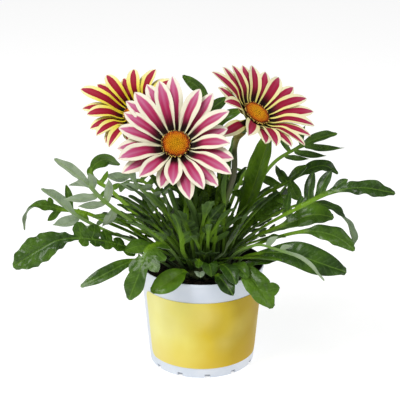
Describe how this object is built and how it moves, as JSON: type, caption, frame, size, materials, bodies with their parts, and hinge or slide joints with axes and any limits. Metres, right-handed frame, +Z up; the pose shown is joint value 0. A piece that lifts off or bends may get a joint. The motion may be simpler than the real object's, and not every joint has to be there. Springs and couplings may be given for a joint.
{
  "type": "potted gazania",
  "caption": "Gazania in a round nursery pot: a clump of long lobed leaves and daisy-like flowers with striped petals round a golden disc.",
  "frame": {"origin": "middle of the pot's flat underside", "axes": "+Z up along the pot's axis; the front, with the wrap label and the flowers' faces, looks along -Y; +X to the right as seen from the front"},
  "size_m": [0.326, 0.2247, 0.2749],
  "materials": {
    "pot_plastic": "satin",
    "label_film": "satin",
    "potting_soil": "matte",
    "crown_wood": "matte",
    "stalk_skin": "satin",
    "bract_skin": "satin",
    "petal_rose": "satin",
    "petal_crimson": "satin",
    "disc_florets": "matte",
    "leaf_dark": "satin",
    "leaf_bright": "satin",
    "leaf_silver": "matte"
  },
  "bodies": {
    "root": {"crown": "crown_wood", "label": "label_film", "leaf_back_left": "leaf_dark", "leaf_back_left_low": "leaf_dark", "leaf_back_middle": "leaf_dark", "leaf_back_middle_left": "leaf_dark", "leaf_back_middle_right": "leaf_dark", "leaf_back_right": "leaf_dark", "leaf_back_right_low": "leaf_dark", "leaf_centre_front": "leaf_dark", "leaf_centre_left": "leaf_dark", "leaf_centre_small": "leaf_silver", "leaf_front_left_lobed": "leaf_dark", "leaf_front_left_oval": "leaf_bright", "leaf_front_right_grey": "leaf_silver", "leaf_front_right_lip": "leaf_dark", "leaf_front_right_lobed": "leaf_dark", "leaf_front_right_small": "leaf_dark", "leaf_front_round": "leaf_dark", "leaf_front_tiny": "leaf_silver", "leaf_left_back_curl": "leaf_dark", "leaf_left_back_tall": "leaf_silver", "leaf_left_far_curl": "leaf_dark", "leaf_left_front_narrow": "leaf_dark", "leaf_left_long": "leaf_dark", "leaf_left_silver_long": "leaf_silver", "leaf_left_silver_low": "leaf_silver", "leaf_left_slender": "leaf_dark", "leaf_left_strap": "leaf_dark", "leaf_pale_strap": "leaf_silver", "leaf_right_arching": "leaf_dark", "leaf_right_back_arch": "leaf_dark", "leaf_right_bright": "leaf_bright", "leaf_right_broad": "leaf_dark", "leaf_right_dark_broad": "leaf_dark", "leaf_right_long": "leaf_dark", "leaf_right_low": "leaf_dark", "leaf_right_pinnate_high": "leaf_dark", "leaf_right_pinnate_mid": "leaf_dark", "leaf_right_silver_thin": "leaf_silver", "leaf_right_tucked": "leaf_dark", "leaf_upright_back_1": "leaf_dark", "leaf_upright_back_2": "leaf_dark", "leaf_upright_broad": "leaf_bright", "leaf_upright_tall": "leaf_dark", "left_flower_disc": "disc_florets", "left_flower_involucre": "bract_skin", "left_flower_rays": "petal_crimson", "left_flower_stalk": "stalk_skin", "middle_flower_disc": "disc_florets", "middle_flower_involucre": "bract_skin", "middle_flower_rays": "petal_rose", "middle_flower_stalk": "stalk_skin", "pot": "pot_plastic", "right_flower_disc": "disc_florets", "right_flower_involucre": "bract_skin", "right_flower_rays": "petal_crimson", "right_flower_stalk": "stalk_skin", "soil": "potting_soil"}
  },
  "joints": []
}
